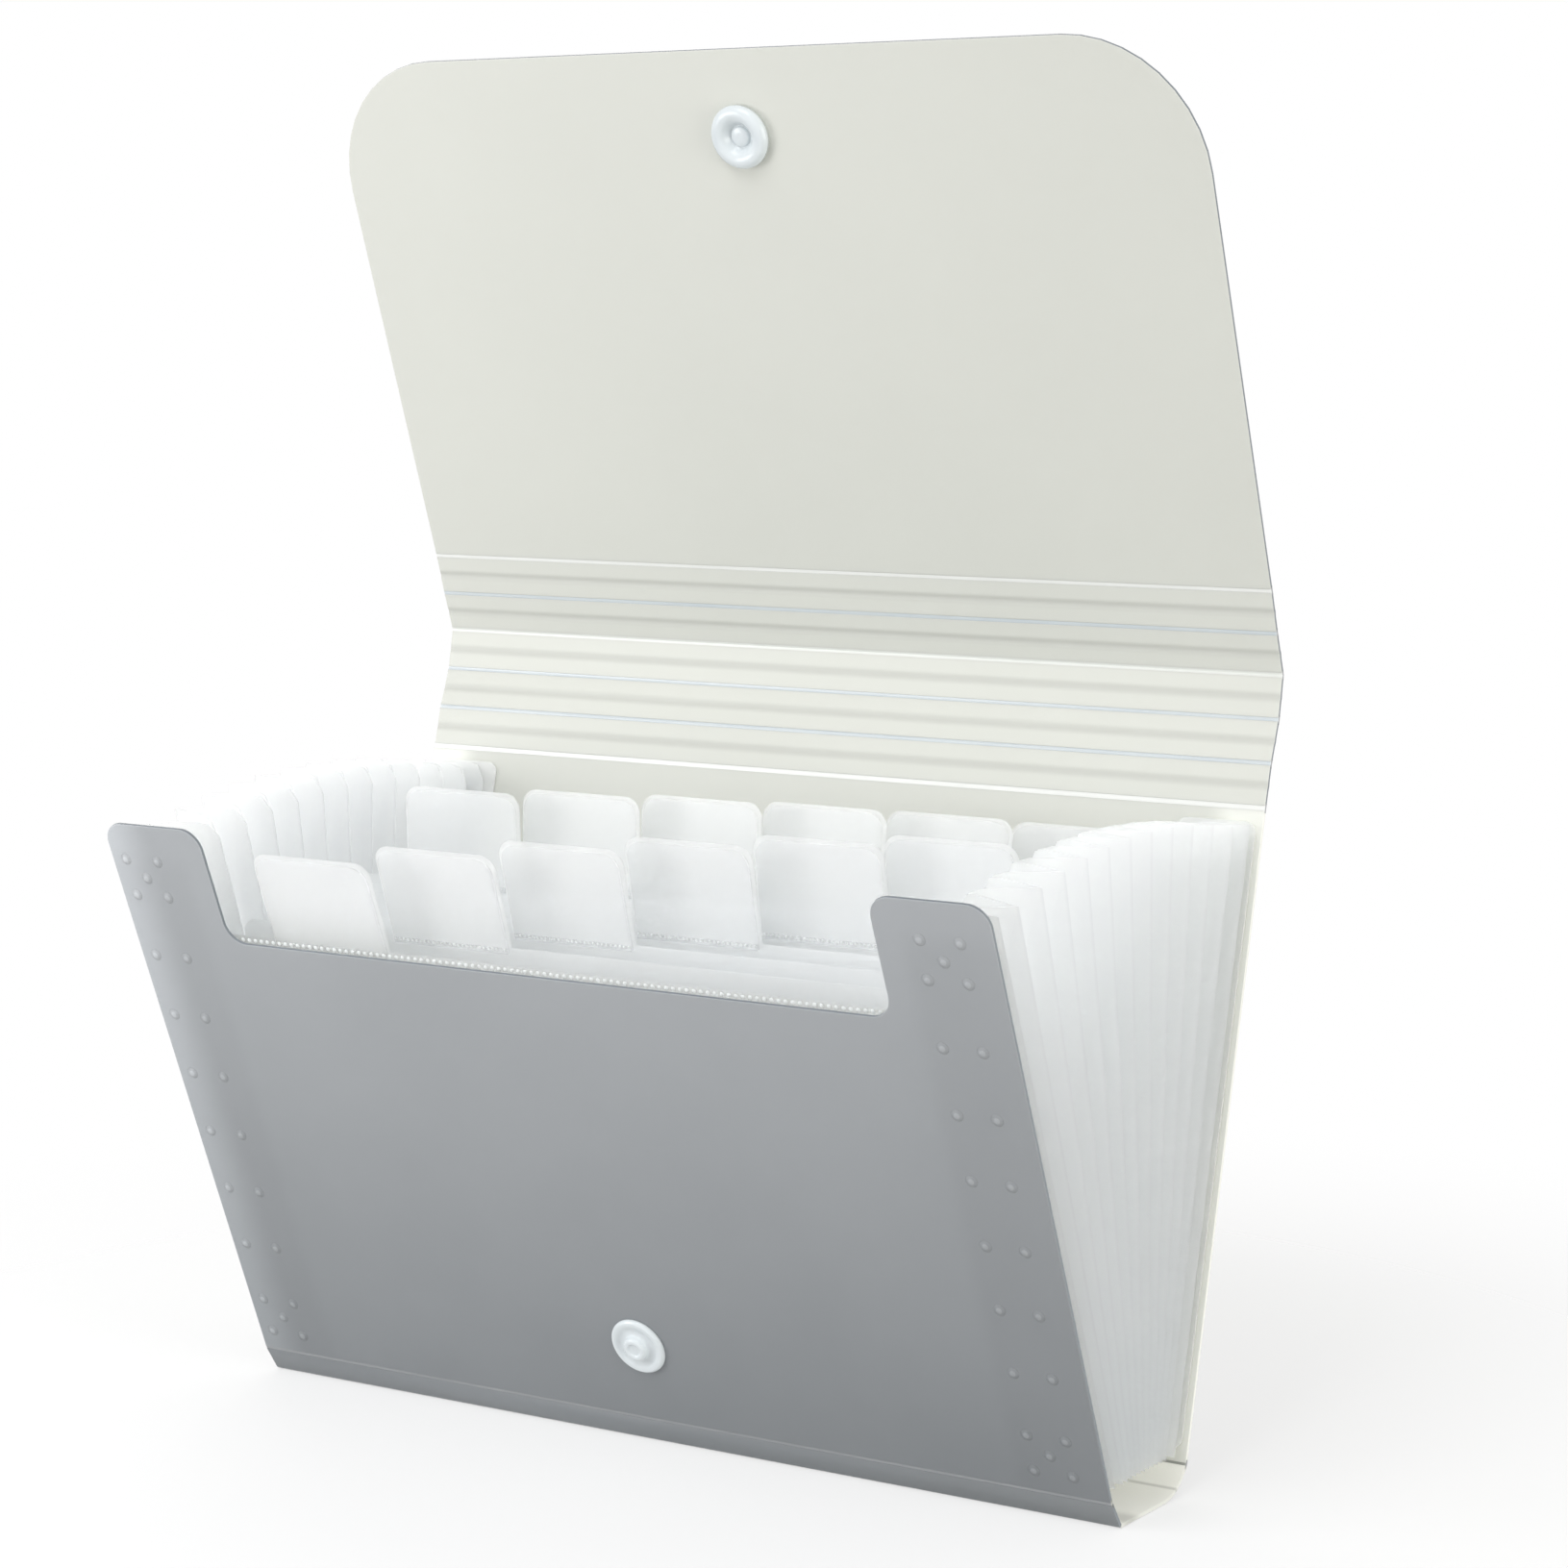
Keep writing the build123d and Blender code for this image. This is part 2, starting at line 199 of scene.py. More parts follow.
def divider_seat(number):
    """The plane of a numbered divider, which stands upright when the folder is shut."""
    swing = f"divider_{number:02d}_swing"
    lean = radians(-ratios[swing] * joint_limits["accordion_close"][1])
    up = Vector((0, -sin(lean), cos(lean)))
    return Seat(joint_places[swing], up, ACROSS.cross(up), GUSSET_HEIGHT)


# Colours and nodes
def linear(code):
    """An sRGB hex colour as linear RGBA."""
    parts = [int(code[place:place + 2], 16) / 255 for place in (1, 3, 5)]
    return tuple(c / 12.92 if c <= 0.04045 else ((c + 0.055) / 1.055) ** 2.4 for c in parts) + (1.0,)


def add(tree, kind, sockets=None, **settings):
    """Add a node, set its properties, and set or link its input sockets."""
    made = tree.nodes.new(kind)
    for name, value in settings.items():
        setattr(made, name, value)
    for key, value in (sockets or {}).items():
        if isinstance(value, bpy.types.NodeSocket):
            tree.links.new(value, made.inputs[key])
        else:
            made.inputs[key].default_value = value
    return made


def new_material(name, **sockets):
    """A material with its shader's own sockets set, given as words joined by underscores."""
    material = bpy.data.materials.new(name)
    material.use_nodes = True
    shader = material.node_tree.nodes["Principled BSDF"]
    for key, value in sockets.items():
        shader.inputs[key.replace("_", " ")].default_value = value
    return material, material.node_tree, shader


# Extruded polypropylene sheet, smoke grey, with a fine matt grain rolled into both faces. Light goes through it,
# and that light is painted into its colour: paler, as painted light, where the open pockets stand behind it, and
# deeper, as painted shade, where films lie close behind it.
def smoke_sheet(name, pale, deep, margin=None, pressed=None, paler_edge=None):
    material, tree, shader = new_material(
        name, Roughness=0.46, IOR=1.49, Subsurface_Weight=0.35, Subsurface_Scale=1.0 * MM,
        Subsurface_Radius=(1.0, 1.0, 1.0))
    place = add(tree, "ShaderNodeTexCoord").outputs["Object"]
    cloud = {"Vector": place, "Scale": 1 / SHEET_CLOUD, "Detail": 3.0}
    tone = cloudy = add(tree, "ShaderNodeTexNoise", cloud).outputs[0]
    if margin or pressed:
        spread = add(tree, "ShaderNodeUVMap").outputs[0]
        along = add(tree, "ShaderNodeSeparateXYZ", {0: spread}).outputs["Y"]
    if margin or paler_edge:
        side = add(tree, "ShaderNodeSeparateXYZ", {0: place}).outputs["X"]
        reach = add(tree, "ShaderNodeMath", {0: side}, operation="ABSOLUTE").outputs[0]
    if margin:
        # Painted shade: the pockets narrow towards the foot, where their films lie close together, so the sheet is
        # painted deeper towards the foot.
        foot = add(tree, "ShaderNodeMath", {0: 1.0, 1: along}, operation="SUBTRACT").outputs[0]
        tone = add(tree, "ShaderNodeMix", {0: CLOUD_SHARE, 2: foot, 3: cloudy}).outputs[0]
    colours = {0: tone, 6: linear(pale), 7: linear(deep)}
    result = add(tree, "ShaderNodeMix", colours, data_type="RGBA").outputs[2]
    if margin:
        # Painted shade: the gusset's margin behind the panel's edges holds back light from behind, painted as a
        # darker band with a soft top.
        band = add(tree, "ShaderNodeMapRange", {
            "Value": reach, "From Min": BAND_EDGE[0], "From Max": BAND_EDGE[1]},
            interpolation_type="SMOOTHSTEP").outputs[0]
        under = add(tree, "ShaderNodeMapRange", {
            "Value": along, "From Min": BAND_TOP[0], "From Max": BAND_TOP[1], "To Min": 1.0, "To Max": 0.0},
            interpolation_type="SMOOTHSTEP").outputs[0]
        both = add(tree, "ShaderNodeMath", {0: band, 1: under}, operation="MULTIPLY").outputs[0]
        shade = add(tree, "ShaderNodeMapRange", {"Value": both, "To Min": 1.0, "To Max": margin}).outputs[0]
        # Painted light: fewer films lie behind the left edge, so more light goes through it, and it is painted
        # paler.
        glow = add(tree, "ShaderNodeMapRange", {
            "Value": side, "From Min": -half_width, "From Max": EDGE_GLOW - half_width, "To Min": EDGE_PALER,
            "To Max": 1.0}, interpolation_type="SMOOTHSTEP").outputs[0]
        shade = add(tree, "ShaderNodeMath", {0: shade, 1: glow}, operation="MULTIPLY").outputs[0]
        result = add(tree, "ShaderNodeVectorMath", {0: result, "Scale": shade}, operation="SCALE").outputs[0]
    if pressed:
        # Painted shade: a line pressed along a strip, or a crease, is painted darker, with soft edges.
        off = add(tree, "ShaderNodeMath", {0: along, 1: 0.5}, operation="SUBTRACT").outputs[0]
        off = add(tree, "ShaderNodeMath", {0: off}, operation="ABSOLUTE").outputs[0]
        line = add(tree, "ShaderNodeMapRange", {
            "Value": off, "From Min": PRESSED_EDGE[0], "From Max": PRESSED_EDGE[1], "To Min": pressed,
            "To Max": 1.0}, interpolation_type="SMOOTHSTEP").outputs[0]
        result = add(tree, "ShaderNodeVectorMath", {0: result, "Scale": line}, operation="SCALE").outputs[0]
    if paler_edge:
        # Painted light: no pocket stands in front of the panel's side edges, so light goes through, and they are
        # painted paler.
        glow = add(tree, "ShaderNodeMapRange", {
            "Value": reach, "From Min": half_width - EDGE_GLOW, "From Max": half_width - EDGE_GLOW / 2,
            "To Min": 1.0, "To Max": paler_edge}, interpolation_type="SMOOTHSTEP").outputs[0]
        result = add(tree, "ShaderNodeVectorMath", {0: result, "Scale": glow}, operation="SCALE").outputs[0]
    tree.links.new(result, shader.inputs["Base Color"])
    # The real grain is about 0.2 mm and too fine to show, so it is drawn at twice that.
    grain = add(tree, "ShaderNodeTexNoise", {"Vector": place, "Scale": 1 / SHEET_GRAIN, "Detail": 2.0})
    rough = {"Strength": 0.15, "Distance": SHEET_GRAIN_DEPTH, "Height": grain.outputs[0]}
    tree.links.new(add(tree, "ShaderNodeBump", rough).outputs["Normal"], shader.inputs["Normal"])
    return material


# Polypropylene thinned by the scoring rule: pale, shiny and nearly clear, so it shows as a bright line.
def scored_web(name, pale, deep):
    material, tree, shader = new_material(
        name, Roughness=0.25, IOR=1.49, Subsurface_Weight=0.7, Subsurface_Scale=1.0 * MM,
        Subsurface_Radius=(1.0, 1.0, 1.0))
    place = add(tree, "ShaderNodeTexCoord").outputs["Object"]
    streak = add(tree, "ShaderNodeTexNoise", {"Vector": place, "Scale": 1 / WEB_STREAK, "Detail": 2.0})
    colours = {0: streak.outputs[0], 6: linear(pale), 7: linear(deep)}
    result = add(tree, "ShaderNodeMix", colours, data_type="RGBA").outputs[2]
    tree.links.new(result, shader.inputs["Base Color"])
    return material


# Milky polypropylene film, calendered smooth: it passes light and scatters it, so layers of it turn white.
# Where it is folded into pleats, each fold is a thin greyer line.
def milky_film(name, clear, cloudy, alpha, fold=None, rim=None):
    material, tree, shader = new_material(
        name, Roughness=0.32, IOR=1.49, Alpha=alpha, Subsurface_Weight=0.9, Subsurface_Scale=0.3 * MM,
        Subsurface_Radius=(1.0, 1.0, 1.0))
    coordinates = add(tree, "ShaderNodeTexCoord").outputs
    place = coordinates["Object"]
    cloud = add(tree, "ShaderNodeTexNoise", {"Vector": place, "Scale": 1 / FILM_CLOUD, "Detail": 2.0})
    colours = {0: cloud.outputs[0], 6: linear(clear), 7: linear(cloudy)}
    result = add(tree, "ShaderNodeMix", colours, data_type="RGBA").outputs[2]
    if fold:
        spread = add(tree, "ShaderNodeUVMap").outputs[0]
        across = add(tree, "ShaderNodeSeparateXYZ", {0: spread}).outputs["X"]
        off = add(tree, "ShaderNodeMath", {0: across, 1: 0.5}, operation="SUBTRACT").outputs[0]
        off = add(tree, "ShaderNodeMath", {0: off}, operation="ABSOLUTE").outputs[0]
        line = add(tree, "ShaderNodeMapRange", {
            "Value": off, "From Min": FOLD_EDGE[0], "From Max": FOLD_EDGE[1], "To Min": 1.0, "To Max": fold},
            interpolation_type="SMOOTHSTEP").outputs[0]
        result = add(tree, "ShaderNodeVectorMath", {0: result, "Scale": line}, operation="SCALE").outputs[0]
    tree.links.new(result, shader.inputs["Base Color"])
    if rim:
        # The cut edges of so thin a film are clear, so they hardly show. Its faces look along Y.
        facing = add(tree, "ShaderNodeSeparateXYZ", {0: coordinates["Normal"]}).outputs["Y"]
        facing = add(tree, "ShaderNodeMath", {0: facing}, operation="ABSOLUTE").outputs[0]
        veil = add(tree, "ShaderNodeMapRange", {
            "Value": facing, "From Min": FILM_FACING[0], "From Max": FILM_FACING[1], "To Min": rim,
            "To Max": alpha}).outputs[0]
        tree.links.new(veil, shader.inputs["Alpha"])
    wave = add(tree, "ShaderNodeTexNoise", {"Vector": place, "Scale": 1 / FILM_WAVE, "Detail": 1.0})
    wavy = {"Strength": 0.1, "Distance": FILM_WAVE_DEPTH, "Height": wave.outputs[0]}
    tree.links.new(add(tree, "ShaderNodeBump", wavy).outputs["Normal"], shader.inputs["Normal"])
    return material


# Acetal, injection moulded and polished: dense glossy white with soft moulding marks.
def moulded_white(name, pale, deep):
    material, tree, shader = new_material(
        name, Roughness=0.2, IOR=1.48, Subsurface_Weight=0.2, Subsurface_Scale=1.0 * MM,
        Subsurface_Radius=(1.0, 1.0, 1.0))
    place = add(tree, "ShaderNodeTexCoord").outputs["Object"]
    marks = add(tree, "ShaderNodeTexNoise", {"Vector": place, "Scale": 1 / MOULDING_MARK, "Detail": 2.0})
    colours = {0: marks.outputs[0], 6: linear(pale), 7: linear(deep)}
    result = add(tree, "ShaderNodeMix", colours, data_type="RGBA").outputs[2]
    tree.links.new(result, shader.inputs["Base Color"])
    marked = {"Strength": 0.06, "Distance": MOULDING_DEPTH, "Height": marks.outputs[0]}
    tree.links.new(add(tree, "ShaderNodeBump", marked).outputs["Normal"], shader.inputs["Normal"])
    return material


# One smoke-grey sheet with lit and shaded copies of its finish: the faces that look into the folder are painted
# paler, as painted light that comes through from behind, and the outer faces are painted deeper, as painted shade,
# deepest at the foot.
outside = smoke_sheet("polypropylene_smoke_outside", "#9D9EA1", "#94979A")
welded = smoke_sheet("polypropylene_smoke_welded", "#AEB1B4", "#787C7F", margin=0.95)
foot_outside = smoke_sheet("polypropylene_smoke_foot", "#7F8386", "#787C7F")
inside = smoke_sheet("polypropylene_smoke_inside", "#D5D6CF", "#D0D1CA")
# The back panel's inner face, painted paler at its side edges as painted light.
back_inside = smoke_sheet("polypropylene_smoke_back", "#D5D6CF", "#D0D1CA", paler_edge=1.25)
# Inner faces of the strips and the floor, painted darker along their pressed lines and creases as painted shade.
strip_inside = smoke_sheet("polypropylene_smoke_strip", "#D7D8D1", "#D2D3CC", pressed=0.86)
floor_inside = smoke_sheet("polypropylene_smoke_floor", "#E0E1DA", "#DBDCD5", pressed=0.72)
cut_edge = smoke_sheet("polypropylene_smoke_cut_edge", "#7F858B", "#767C82")
bright_web = scored_web("polypropylene_scored_bright", "#F4F5F1", "#E9EBE6")
kink_web = scored_web("polypropylene_scored_kink", "#ECEEE9", "#E2E4DE")
outside_web = scored_web("polypropylene_scored_outside", "#A2A4A6", "#95989B")
faint_web = scored_web("polypropylene_scored_faint", "#D5DBDD", "#C8D0D5")
# Painted shade: the web's inner face in the creases at the foot is painted darker than the sheet beside it.
crease_shade_web = scored_web("polypropylene_scored_crease_shade", "#B4B5AE", "#A9ABA6")
film = milky_film("polypropylene_milky_film", "#FDFEFF", "#FAFDFE", 0.4)
divider_film = milky_film("polypropylene_divider_film", "#FDFEFF", "#FAFDFE", 0.4, rim=0.06)
pleat_film = milky_film("polypropylene_pleated_film", "#FDFEFF", "#FAFDFE", 0.35, fold=0.94)
sleeve = milky_film("polypropylene_clear_sleeve", "#FDFEFF", "#FAFDFE", 0.2, rim=0.03)
# The weld spots' pale middles are partly the melted sheet's paler tone and partly a painted highlight.
weld = smoke_sheet("polypropylene_weld_melt_and_highlight", "#BABDC0", "#8A8E91", margin=0.95)
bead = milky_film("polypropylene_welded_bead", "#F6F9FA", "#EEF3F5", 0.8)
snap = moulded_white("acetal_moulded_white", "#E0E6E8", "#D4DBDE")


# Meshes
def new_piece(name, points, faces, material, body=None, smooth=False):
    """A mesh object that rides on a body. It may take more than one material."""
    mesh = bpy.data.meshes.new(name)
    mesh.from_pydata([tuple(point) for point in points], [], faces)
    mesh.update()
    piece = bpy.data.objects.new(name, mesh)
    bpy.context.scene.collection.objects.link(piece)
    for finish in material if isinstance(material, tuple) else (material,):
        mesh.materials.append(finish)
    for face in mesh.polygons:
        face.use_smooth = smooth
    if body:
        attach(piece, body)
    return piece


def lay_out(piece, name, places):
    """Give each point of a piece its place on the sheet, as shares of the sheet's width and length."""
    layer = piece.data.uv_layers.new(name=name)
    for loop, value in zip(piece.data.loops, layer.data):
        value.uv = places[loop.vertex_index]


def round_edges(piece, name, width, segments, degrees):
    """Round the edges of a piece that turn by more than an angle."""
    rounding = piece.modifiers.new(name, "BEVEL")
    rounding.width = width
    rounding.segments = segments
    rounding.limit_method = "ANGLE"
    rounding.angle_limit = radians(degrees)


def slab_faces(count):
    """Faces of a bent slab: two points to a row, count points on its front and as many on its back."""
    faces = []
    for low in range(0, count - 2, 2):
        faces.append([low, low + 1, low + 3, low + 2])
        faces.append([low + count, low + 2 + count, low + 3 + count, low + 1 + count])
        faces.append([low + 1, low + 1 + count, low + 3 + count, low + 3])
        faces.append([low, low + 2, low + 2 + count, low + count])
    faces.append([0, count, count + 1, 1])
    faces.append([count - 2, count - 1, 2 * count - 1, 2 * count - 2])
    return faces


def round_corners(corners):
    """An outline of right-angled corners (u, v, radius) as points, with its round corners as arcs."""
    outline = []
    count = len(corners)
    for index, (u, v, radius) in enumerate(corners):
        here = Vector((u, v))
        if radius == 0:
            outline.append(here)
            continue
        before = (Vector(corners[index - 1][:2]) - here).normalized()
        after = (Vector(corners[(index + 1) % count][:2]) - here).normalized()
        centre = here + radius * (before + after)
        for step in range(ARC_STEPS + 1):
            angle = pi / 2 * step / ARC_STEPS
            outline.append(centre - radius * (cos(angle) * after + sin(angle) * before))
    return outline


def sheet_piece(name, node, body, finishes, corners, cuts=(), lift=None, scored=(0, 0)):
    """A flat sheet in its node's place, with finishes for its front, its back and its cut edges.

    Scored is how far the back face is cut away at the foot and at the top."""
    seat = seat_of(node)
    foot, top = corners[0][1], max(corner[1] for corner in corners)
    flat = bmesh.new()
    flat.faces.new([flat.verts.new((point.x, point.y, 0)) for point in round_corners(corners)])
    for cut in cuts:
        parts = flat.verts[:] + flat.edges[:] + flat.faces[:]
        bmesh.ops.bisect_plane(flat, geom=parts, plane_co=(0, cut, 0), plane_no=(0, 1, 0))
    flat.verts.index_update()
    count = len(flat.verts)
    points = []
    for side in (1, -1):
        for vertex in flat.verts:
            u, v = vertex.co.x, vertex.co.y
            pressed = lift(v) if lift else 0
            if side < 0:
                v = min(max(v, foot + scored[0]), top - scored[1])
            points.append(on_seat(seat, u, v, side * SHEET / 2 + pressed))
    faces, finish_of = [], []
    for face in flat.faces:
        ring = [vertex.index for vertex in face.verts]
        faces += [ring, [index + count for index in reversed(ring)]]
        finish_of += [0, 1]
    for edge in flat.edges:
        if edge.is_boundary:
            loop = edge.link_loops[0]
            first, second = loop.vert.index, loop.link_loop_next.vert.index
            faces.append([second, first, first + count, second + count])
            heights = [vertex.co.y for vertex in edge.verts]
            creased = max(heights) == foot or (scored[1] and min(heights) == top)
            finish_of.append(0 if creased else 2)
    spread = [(share_across(vertex.co.x), vertex.co.y / seat.length) for vertex in flat.verts]
    flat.free()
    piece = new_piece(name, points, faces, finishes, body)
    lay_out(piece, "sheet", 2 * spread)
    piece.data.polygons.foreach_set("material_index", finish_of)
    round_edges(piece, "rim", RIM_ROUND, 2, 50)
    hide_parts(node)
    return piece


def plain_corners(length):
    """The outline of a sheet with square corners."""
    low, high = SCORE_GAP / 2, length - SCORE_GAP / 2
    return [(-half_width, low, 0), (half_width, low, 0), (half_width, high, 0), (-half_width, high, 0)]


def scored_line(name, crease, below, above, bodies, webs):
    """The thin web in a crease, between the sheet that ends there and the one that starts there."""
    rows = [crease - below.up * WEB_REACH, crease - below.up * WEB_REACH / 2, crease,
            crease + above.up * WEB_REACH / 2, crease + above.up * WEB_REACH]
    outs = [below.out, below.out, (below.out + above.out).normalized(), above.out, above.out]
    points = []
    for side in (1, -1):
        for row, out in zip(rows, outs):
            for end in (-half_width, half_width):
                points.append(row + out * side * WEB_FILM / 2 + ACROSS * end)
    count = 2 * len(rows)
    piece = new_piece(name, points, slab_faces(count), webs)
    for face in piece.data.polygons:
        face.material_index = int(max(face.vertices) >= count)
    if bodies[0] == bodies[1]:
        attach(piece, bodies[0])
    else:
        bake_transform(piece)
    return piece


# Cover
strips = [f"top_strip_{number}" for number in range(1, 6)]
strip_bodies = ["top_band"] * 3 + ["flap"] * 2


def pressed_line(seat):
    """Cuts and depth of the soft line pressed along the middle of a top strip."""
    middle = seat.length / 2

    def depth(v):
        share = abs(v - middle) / (PRESSED_WIDTH / 2)
        return -PRESSED_DEPTH * (1 + cos(pi * share)) / 2 if share < 1 else 0

    cuts = [middle + PRESSED_WIDTH * (step / PRESSED_STEPS - 0.5) for step in range(PRESSED_STEPS + 1)]
    return cuts, depth


def front_panel_corners(height):
    """The outline of the front panel, with a finger notch between two ears."""
    inner = half_width - EAR_WIDTH
    floor = height - NOTCH_DEPTH
    low = SCORE_GAP / 2
    return [(-half_width, low, 0), (half_width, low, 0), (half_width, height, EAR_CORNER),
            (inner, height, EAR_CORNER), (inner, floor, NOTCH_CORNER), (-inner, floor, NOTCH_CORNER),
            (-inner, height, EAR_CORNER), (-half_width, height, EAR_CORNER)]


def flap_corners(height):
    """The outline of the closing flap, with two large round corners."""
    low = SCORE_GAP / 2
    return [(-half_width, low, 0), (half_width, low, 0), (half_width, height, FLAP_CORNER),
            (-half_width, height, FLAP_CORNER)]


seats = {node: seat_of(node) for node in strips + [
    "bottom_front_strip", "bottom_rear_strip", "front_panel", "back_panel", "closing_flap"]}
front_seat, back_seat, flap_seat = seats["front_panel"], seats["back_panel"], seats["closing_flap"]
front_strip, rear_strip = seats["bottom_front_strip"], seats["bottom_rear_strip"]
sheet_piece("cover_back_panel", "back_panel", "back", (back_inside, welded, back_inside),
            plain_corners(back_seat.length), scored=(0, SCORE_CUT))
sheet_piece("cover_front_panel", "front_panel", "front", (welded, inside, cut_edge),
            front_panel_corners(front_seat.length))
for node, body in zip(strips, strip_bodies):
    cuts, depth = pressed_line(seats[node])
    sheet_piece(f"cover_{node}", node, body, (strip_inside, outside, cut_edge),
                plain_corners(seats[node].length), cuts, depth, scored=(SCORE_CUT, SCORE_CUT))
sheet_piece("cover_closing_flap", "closing_flap", "flap", (inside, outside, cut_edge),
            flap_corners(flap_seat.length), scored=(SCORE_CUT, 0))

top_row = ["back_panel"] + strips + ["closing_flap"]
top_bodies = ["back"] + strip_bodies + ["flap"]
# The first and the last crease look brightest, and so does the kink between the third and the fourth strip.
top_webs = {0: bright_web, 3: kink_web, 5: bright_web}
for index in range(len(top_row) - 1):
    lower, upper = seats[top_row[index]], seats[top_row[index + 1]]
    crease = (lower.foot + lower.up * lower.length + upper.foot) / 2
    scored_line(f"scored_line_top_{index + 1}", crease, lower, upper, top_bodies[index:index + 2],
                (top_webs.get(index, faint_web), outside_web))
scored_line("scored_line_front_foot", front_seat.foot, front_strip, front_seat, ("base", "front"),
            (outside_web, crease_shade_web))
scored_line("scored_line_rear_foot", back_seat.foot, rear_strip, back_seat, ("base", "back"),
            (crease_shade_web, outside_web))


def bent_path(corners):
    """Points along a path of (point, bend radius) corners, and which of them are the middles of bends."""
    rows, middles = [], []
    for index, (here, radius) in enumerate(corners):
        if index in (0, len(corners) - 1):
            rows.append(here)
            continue
        before = (corners[index - 1][0] - here).normalized()
        after = (corners[index + 1][0] - here).normalized()
        reach = radius * tan(acos(-before.dot(after)) / 2)
        middles.append(len(rows) + BEND_STEPS // 2)
        for step in range(BEND_STEPS + 1):
            share = step / BEND_STEPS
            start = here + before * reach * (1 - share)
            end = here + after * reach * share
            rows.append(start.lerp(end, share))
    return rows, middles


def cover_bottom():
    """The floor and both foot strips, one sheet with a crease at the front and a round bend at the rear."""
    gap = SCORE_GAP / 2
    rows, middles = bent_path([(front_seat.foot - front_strip.up * gap, 0), (front_strip.foot, FRONT_BEND),
                               (rear_strip.foot, REAR_BEND), (back_seat.foot - rear_strip.up * gap, 0)])
    lengths = [0.0]
    for row, after in zip(rows, rows[1:]):
        lengths.append(lengths[-1] + (after - row).length)
    points, spread = [], []
    for side in (1, -1):
        for index, row in enumerate(rows):
            along = (rows[min(index + 1, len(rows) - 1)] - rows[max(index - 1, 0)]).normalized()
            inward = ACROSS.cross(along)
            pressed = CREASE_DEPTH if index in middles and side > 0 else 0
            # How far from the middle of a crease or the rear bend, where the floor's finish paints a line of
            # shade.
            off = min((lengths[index] - lengths[middle] for middle in middles), key=abs) / CREASE_SPREAD
            for end in (-half_width, half_width):
                points.append(row + inward * (side * SHEET / 2 - pressed) + ACROSS * end)
                spread.append((share_across(end), 0.5 + max(-0.5, min(0.5, off))))
    count = 2 * len(rows)
    finishes = (floor_inside, foot_outside, cut_edge)
    piece = new_piece("cover_bottom", points, slab_faces(count), finishes, "base")
    lay_out(piece, "sheet", spread)
    # The side edges are dark at the front strip alone.
    for face in piece.data.polygons:
        places = [vertex % count // 2 for vertex in face.vertices]
        sides = {vertex // count for vertex in face.vertices}
        face.use_smooth = len(sides) == 1
        if len(sides) == 1:
            face.material_index = sides.pop()
        elif max(places) == min(places):
            face.material_index = 1
        else:
            face.material_index = 2 if max(places) <= middles[0] else 0
    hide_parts("bottom_floor", "bottom_front_strip", "bottom_rear_strip")
    return piece


cover_bottom()


def add_round(points, faces, centre, axis, profile, sides):
    """Add a closed round shape that stands on a face at its centre, from its (radius, height) rings in mm.

    The rings run from its top to its foot. Gives the number of the ring that each new face starts at."""
    first = len(points)
    side = axis.cross(ACROSS)
    for radius, height in profile:
        for step in range(sides):
            angle = 2 * pi * step / sides
            spoke = ACROSS * cos(angle) + side * sin(angle)
            points.append(centre + spoke * radius * MM + axis * height * MM)
    faces.append([first + step for step in range(sides)])
    for ring in range(len(profile) - 1):
        low, high = first + ring * sides, first + (ring + 1) * sides
        for step in range(sides):
            after = (step + 1) % sides
            faces.append([low + step, high + step, high + after, low + after])
    last = first + (len(profile) - 1) * sides
    faces.append([last + step for step in reversed(range(sides))])
    return [0] + [ring for ring in range(len(profile) - 1) for _ in range(sides)] + [len(profile) - 1]


# Press stud
def turned(name, node, body, centre, axis, profile):
    """A round moulding from its profile, standing on a face at its centre."""
    points, faces = [], []
    add_round(points, faces, centre, axis, profile, SNAP_STEPS)
    piece = new_piece(name, points, faces, snap, body, smooth=True)
    round_edges(piece, "rounding", SNAP_ROUND, 3, 35)
    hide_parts(node)
    return piece


def face_centre(node, seat, side):
    """Where a round piece's axis meets a face of its sheet."""
    low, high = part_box(node)
    middle = (Vector(low) + Vector(high)) / 2
    reach = (middle - seat.foot).dot(seat.up)
    return on_seat(seat, middle.x, reach, side * SHEET / 2)


socket, stud = "snap_socket", "snap_stud"
turned("snap_socket_ring", socket, "flap", face_centre(socket, flap_seat, 1), flap_seat.out, SOCKET_PROFILE)
turned("snap_socket_back", "snap_socket_cap", "flap", face_centre(socket, flap_seat, -1), -flap_seat.out,
       CAP_PROFILE)
turned("snap_stud_ring", stud, "front", face_centre(stud, front_seat, 1), front_seat.out, STUD_PROFILE)
turned("snap_stud_back", "snap_stud_cap", "front", face_centre(stud, front_seat, -1), -front_seat.out,
       CAP_PROFILE)


# Weld spots, each a low bump of melted sheet or film
def spot_places(node):
    """Centres of the weld spots of a node, from the points that lie close together."""
    groups = []
    for vertex in frame["nodes"][node].data.vertices:
        for group in groups:
            if (group[0] - vertex.co).length < WELD_APART:
                group.append(vertex.co.copy())
                break
        else:
            groups.append([vertex.co.copy()])
    return [sum(group, Vector()) / len(group) for group in groups]


